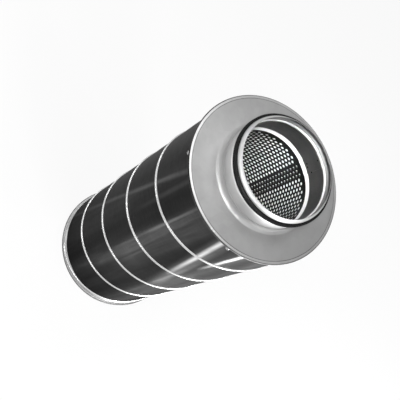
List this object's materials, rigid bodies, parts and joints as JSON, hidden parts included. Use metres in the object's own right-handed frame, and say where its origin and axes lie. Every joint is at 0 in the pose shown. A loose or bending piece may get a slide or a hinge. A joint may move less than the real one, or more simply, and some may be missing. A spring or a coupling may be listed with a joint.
{
  "type": "circular duct sound attenuator",
  "caption": "Round duct silencer: spiral-seam casing, two hemmed end caps, spigots with rubber lip seals and a perforated tube backed by fleece and mineral wool.",
  "frame": {"origin": "centre of the rear mouth, in the plane that the part stands on", "axes": "+Z along the air path from the rear mouth to the front mouth; the spigots' and the tube's lap joints lie on the +Y side"},
  "size_m": [0.26, 0.26, 0.71],
  "materials": {
    "casing_sheet": "zinc-coated spiral duct sheet, half gloss",
    "cap_sheet": "zinc-coated sheet, satin",
    "spigot_sheet": "zinc-coated sheet, satin",
    "seal_rubber": "black, matt",
    "perforated_sheet": "zinc-coated perforated sheet",
    "fleece": "white glass fleece",
    "mineral_wool": "pale mineral wool",
    "rivet_metal": "satin",
    "mandrel_steel": "broken stem"
  },
  "bodies": {
    "root": {"outer_casing": "casing_sheet", "front_end_cap": "cap_sheet", "rear_end_cap": "cap_sheet", "front_spigot": "spigot_sheet", "rear_spigot": "spigot_sheet", "front_seal": "seal_rubber", "rear_seal": "seal_rubber", "perforated_tube": "perforated_sheet", "fleece_wrap": "fleece", "mineral_wool_mat": "mineral_wool", "front_rivets": "rivet_metal", "rear_rivets": "rivet_metal", "front_rivet_mandrels": "mandrel_steel", "rear_rivet_mandrels": "mandrel_steel"}
  },
  "joints": []
}
